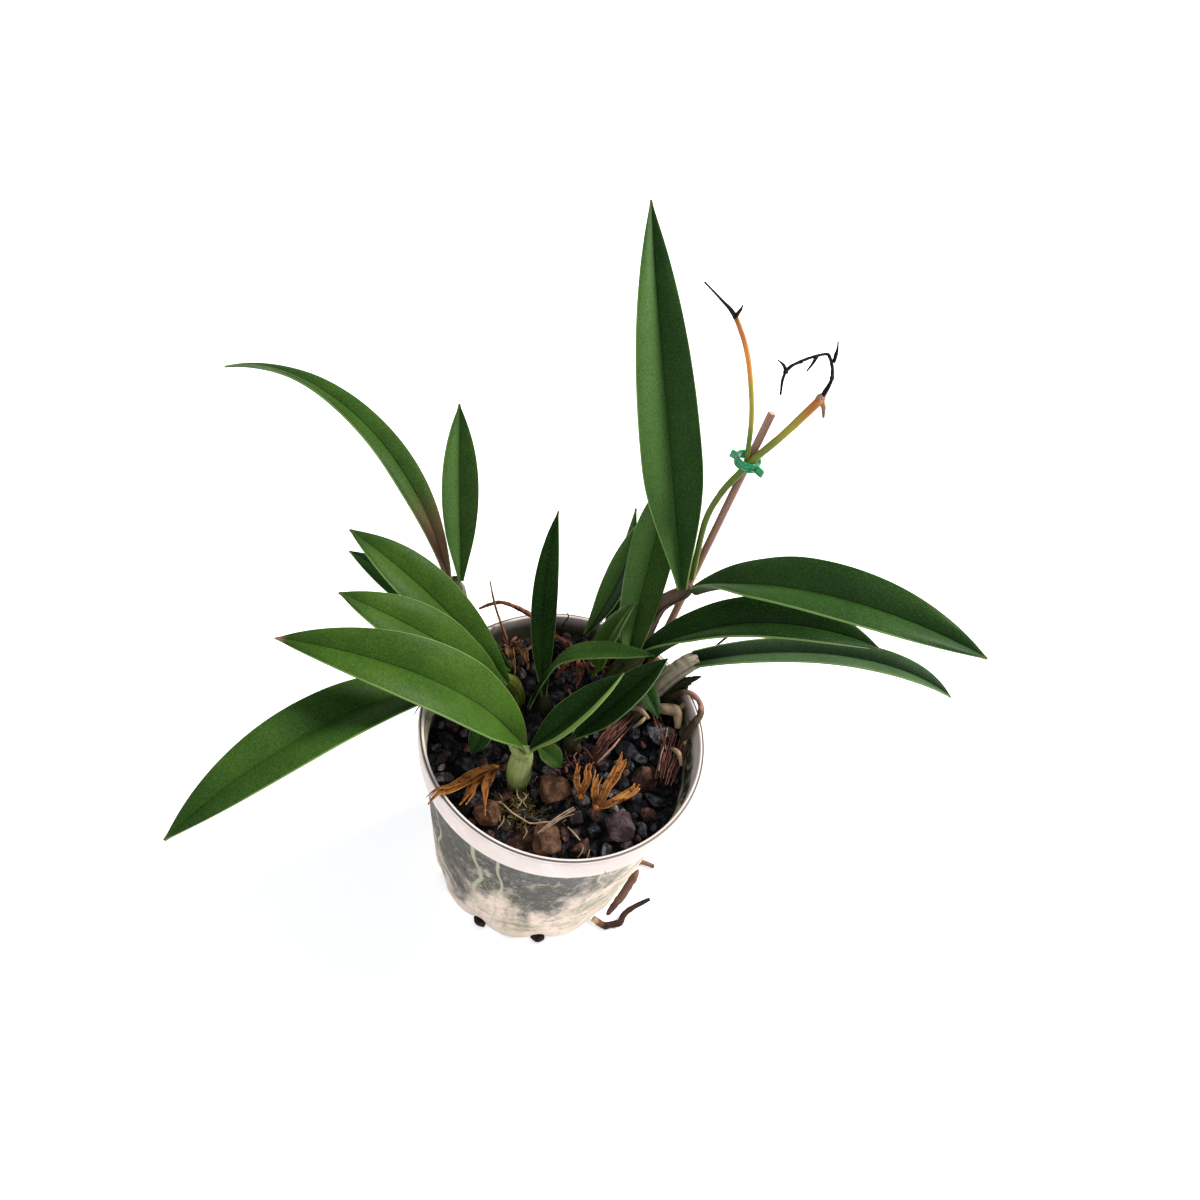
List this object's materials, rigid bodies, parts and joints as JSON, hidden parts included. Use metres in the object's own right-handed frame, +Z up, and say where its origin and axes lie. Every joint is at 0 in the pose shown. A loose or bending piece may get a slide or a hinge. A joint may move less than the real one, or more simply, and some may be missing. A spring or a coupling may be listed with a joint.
{
  "type": "potted cattleya orchid",
  "caption": "Cattleya orchid plant with folded strap leaves on stem-like bulbs, a dried flower stem clipped to a stake, in a clear gravel-filled plastic pot.",
  "frame": {"origin": "centre of the pot's underside, on the surface it stands on", "axes": "+Z up; +Y from the front of the pictured plant towards its back; +X towards its right side"},
  "size_m": [0.3427, 0.2446, 0.287],
  "materials": {
    "pot_plastic": "clear, whitish plastic, slightly hazy",
    "gravel": "rough dark lava gravel (stone stands under matte_plastic)",
    "brown_stone": "rough brown stone",
    "grey_stone": "rough grey-purple stone",
    "bulb_skin": "green skin, satin",
    "dead_sheath": "dull dark sheath",
    "leaf_fresh": "mid-green leaf, soft sheen",
    "leaf_dark": "dark green leaf, soft sheen",
    "stake_wood": "bare wood",
    "clip_plastic": "glossy bright green",
    "flower_stem": "green stem that dries to black tips",
    "dry_orange": "papery, orange-brown",
    "dry_brown": "papery, reddish brown",
    "root": "dull brown root"
  },
  "bodies": {
    "root": {"pot": "pot_plastic", "growing_medium": "gravel", "stone_tan_front": "brown_stone", "stone_brown_left": "brown_stone", "stone_brown_front": "brown_stone", "stone_purple_right": "grey_stone", "stone_grey_right": "grey_stone", "bulb_front": "bulb_skin", "bulb_left_outer": "bulb_skin", "bulb_left_inner": "bulb_skin", "bulb_left_back": "bulb_skin", "bulb_centre": "bulb_skin", "bulb_back": "bulb_skin", "bulb_right": "bulb_skin", "bulb_tall": "bulb_skin", "bulb_leaning": "bulb_skin", "bulb_new": "bulb_skin", "old_sheath_stub": "dead_sheath", "leaf_lower_left": "leaf_dark", "leaf_front_left": "leaf_fresh", "leaf_left_short": "leaf_fresh", "leaf_left_upper": "leaf_fresh", "leaf_left_under": "leaf_dark", "leaf_arching_left": "leaf_dark", "leaf_upright_left": "leaf_dark", "leaf_centre_upright": "leaf_dark", "leaf_centre_bent": "leaf_fresh", "leaf_back": "leaf_dark", "leaf_back_narrow": "leaf_dark", "leaf_back_small": "leaf_fresh", "leaf_broad_back": "leaf_dark", "leaf_front_folded": "leaf_fresh", "leaf_new_dark": "leaf_dark", "leaf_new_round": "leaf_fresh", "leaf_small_right": "leaf_fresh", "leaf_front_small": "leaf_fresh", "leaf_drooping_left": "leaf_dark", "leaf_tall_right": "leaf_dark", "leaf_arching_right": "leaf_dark", "leaf_low_right": "leaf_dark", "leaf_edge_on_right": "leaf_dark", "stake": "stake_wood", "clip": "clip_plastic", "flower_stem": "flower_stem", "dry_sheath_left": "dry_orange", "dry_sheath_right": "dry_orange", "dry_sheath_middle": "dry_orange", "dry_stem_back": "dry_brown", "dry_sheath_back_left": "dry_brown", "root_at_rim": "root", "root_on_table": "root", "root_up_wall": "root", "root_behind": "root", "root_tip_left": "root", "root_tip_front": "root"}
  },
  "joints": []
}
